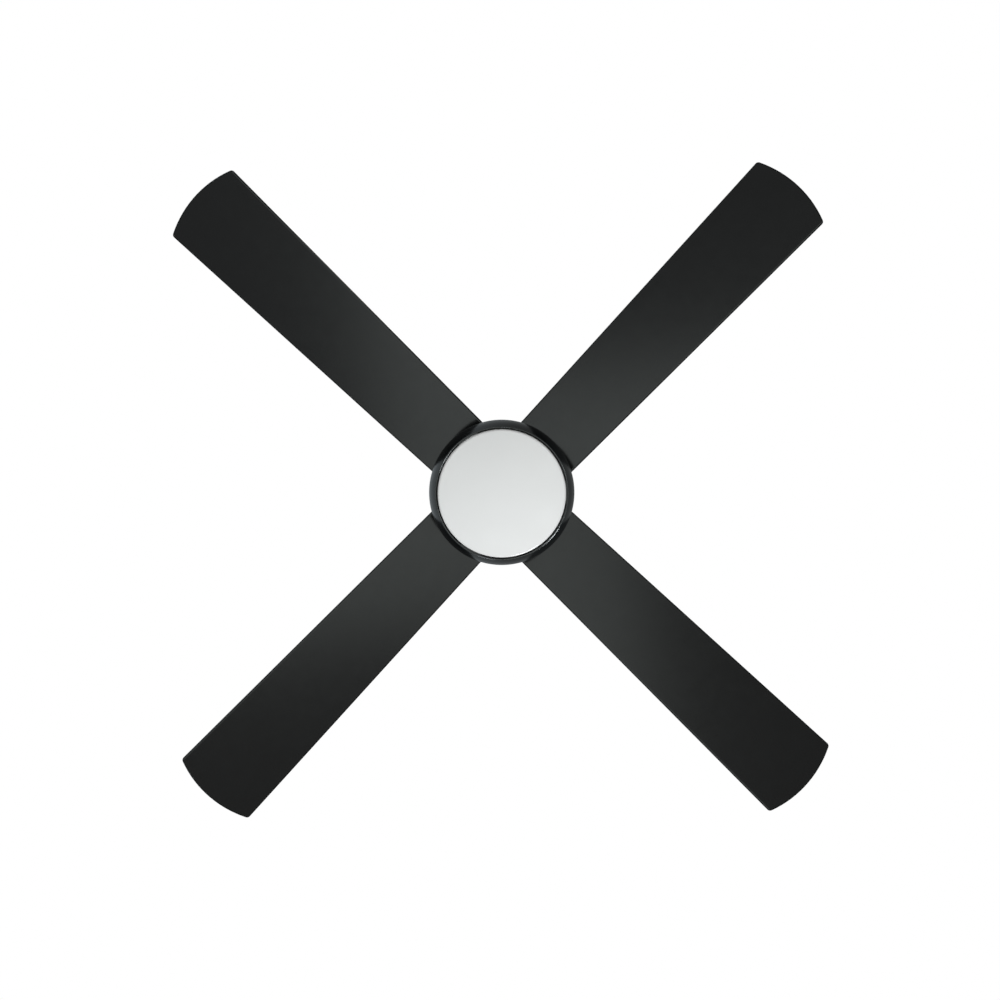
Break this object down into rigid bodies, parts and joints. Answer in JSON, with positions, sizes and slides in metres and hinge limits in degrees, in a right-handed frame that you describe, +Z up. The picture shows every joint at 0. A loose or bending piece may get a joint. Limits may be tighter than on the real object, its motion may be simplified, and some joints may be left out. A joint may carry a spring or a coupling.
{
  "type": "ceiling fan with light",
  "caption": "Downrod ceiling fan with broad pitched blades round a turning hub, and a round opal light in a fixed bowl below.",
  "frame": {"origin": "middle of the hanger plate's top face, between its ceiling screw slots, where it meets the ceiling", "axes": "+Z up into the ceiling, +X along the plate through its two screw slots, +Y towards the seat's open side; the blades point between the X and Y axes"},
  "size_m": [1.0114, 1.0114, 0.391],
  "materials": {
    "blade_black": "satin",
    "painted_black": "satin",
    "gloss_black": "gloss",
    "band_black": "satin",
    "opal": "satin",
    "zinc_steel": "satin",
    "dark_steel": "satin",
    "bearing_steel": "polished",
    "cast_aluminium": "satin",
    "lamination": "satin",
    "copper": "gloss",
    "magnet": "satin",
    "nylon": "matte",
    "white_plastic": "satin",
    "board_green": "gloss",
    "board_white": "satin",
    "phosphor": "satin",
    "rubber_black": "matte",
    "wire_sleeve": "satin",
    "ground_green": "gloss"
  },
  "bodies": {
    "ceiling_mount": {"hanger_plate": "zinc_steel", "hanger_cradle": "zinc_steel", "ground_screw": "ground_green", "receiver": "white_plastic", "canopy": "painted_black", "canopy_screws": "painted_black"},
    "liner": {"hanger_liner": "rubber_black"},
    "hanging_frame": {"hanger_ball": "nylon", "ball_pin": "dark_steel", "ball_set_screw": "dark_steel", "downrod": "painted_black", "yoke": "cast_aluminium", "clevis_pin": "dark_steel", "cotter_pin": "zinc_steel", "yoke_set_screws": "dark_steel", "lead_wires": "wire_sleeve", "upper_housing": "painted_black", "housing_screws": "dark_steel", "motor_shaft": "dark_steel", "shaft_spacers": "zinc_steel", "upper_bearing_inner": "bearing_steel", "lower_bearing_inner": "bearing_steel", "stator_core": "lamination", "stator_insulators": "nylon", "stator_windings": "copper", "stator_hub": "cast_aluminium", "motor_board": "board_green", "light_plate": "zinc_steel", "shaft_nut": "zinc_steel", "light_housing": "gloss_black", "light_housing_screws": "zinc_steel", "standoffs": "zinc_steel", "heat_sink": "cast_aluminium", "led_board": "board_white", "led_chips": "phosphor", "board_screws": "zinc_steel", "led_driver": "white_plastic", "driver_screws": "zinc_steel"},
    "coupling_cover": {"coupling_cover": "painted_black"},
    "rotor": {"rotor_upper_shell": "cast_aluminium", "rotor_lower_shell": "cast_aluminium", "rotor_screws": "dark_steel", "flux_ring": "dark_steel", "magnets": "magnet", "upper_bearing_outer": "bearing_steel", "upper_bearing_balls": "bearing_steel", "lower_bearing_outer": "bearing_steel", "lower_bearing_balls": "bearing_steel", "blade_1": "blade_black", "blade_2": "blade_black", "blade_3": "blade_black", "blade_4": "blade_black", "blade_screws": "zinc_steel", "blade_washers": "rubber_black", "blade_carrier": "cast_aluminium", "carrier_screws": "zinc_steel", "blade_band": "band_black", "band_screws": "zinc_steel"},
    "diffuser": {"diffuser": "opal"}
  },
  "joints": [
    {"name": "hanger_tilt_x", "type": "hinge", "parent": "ceiling_mount", "child": "liner", "pos_m": [0, 0, -0.05], "axis": [1, 0, 0], "range_deg": [-15, 15]},
    {"name": "hanger_tilt_y", "type": "hinge", "parent": "liner", "child": "hanging_frame", "pos_m": [0, 0, -0.05], "axis": [0, 1, 0], "range_deg": [-15, 15]},
    {"name": "cover_lift", "type": "slide", "parent": "hanging_frame", "child": "coupling_cover", "axis": [0, 0, 1], "range_m": [0, 0.055]},
    {"name": "rotor_spin", "type": "hinge", "parent": "hanging_frame", "child": "rotor", "pos_m": [0, 0, -0.29], "axis": [0, 0, -1], "continuous": true},
    {"name": "diffuser_twist", "type": "hinge", "parent": "hanging_frame", "child": "diffuser", "pos_m": [0, 0, -0.38], "axis": [0, 0, -1], "range_deg": [0, 24]}
  ]
}
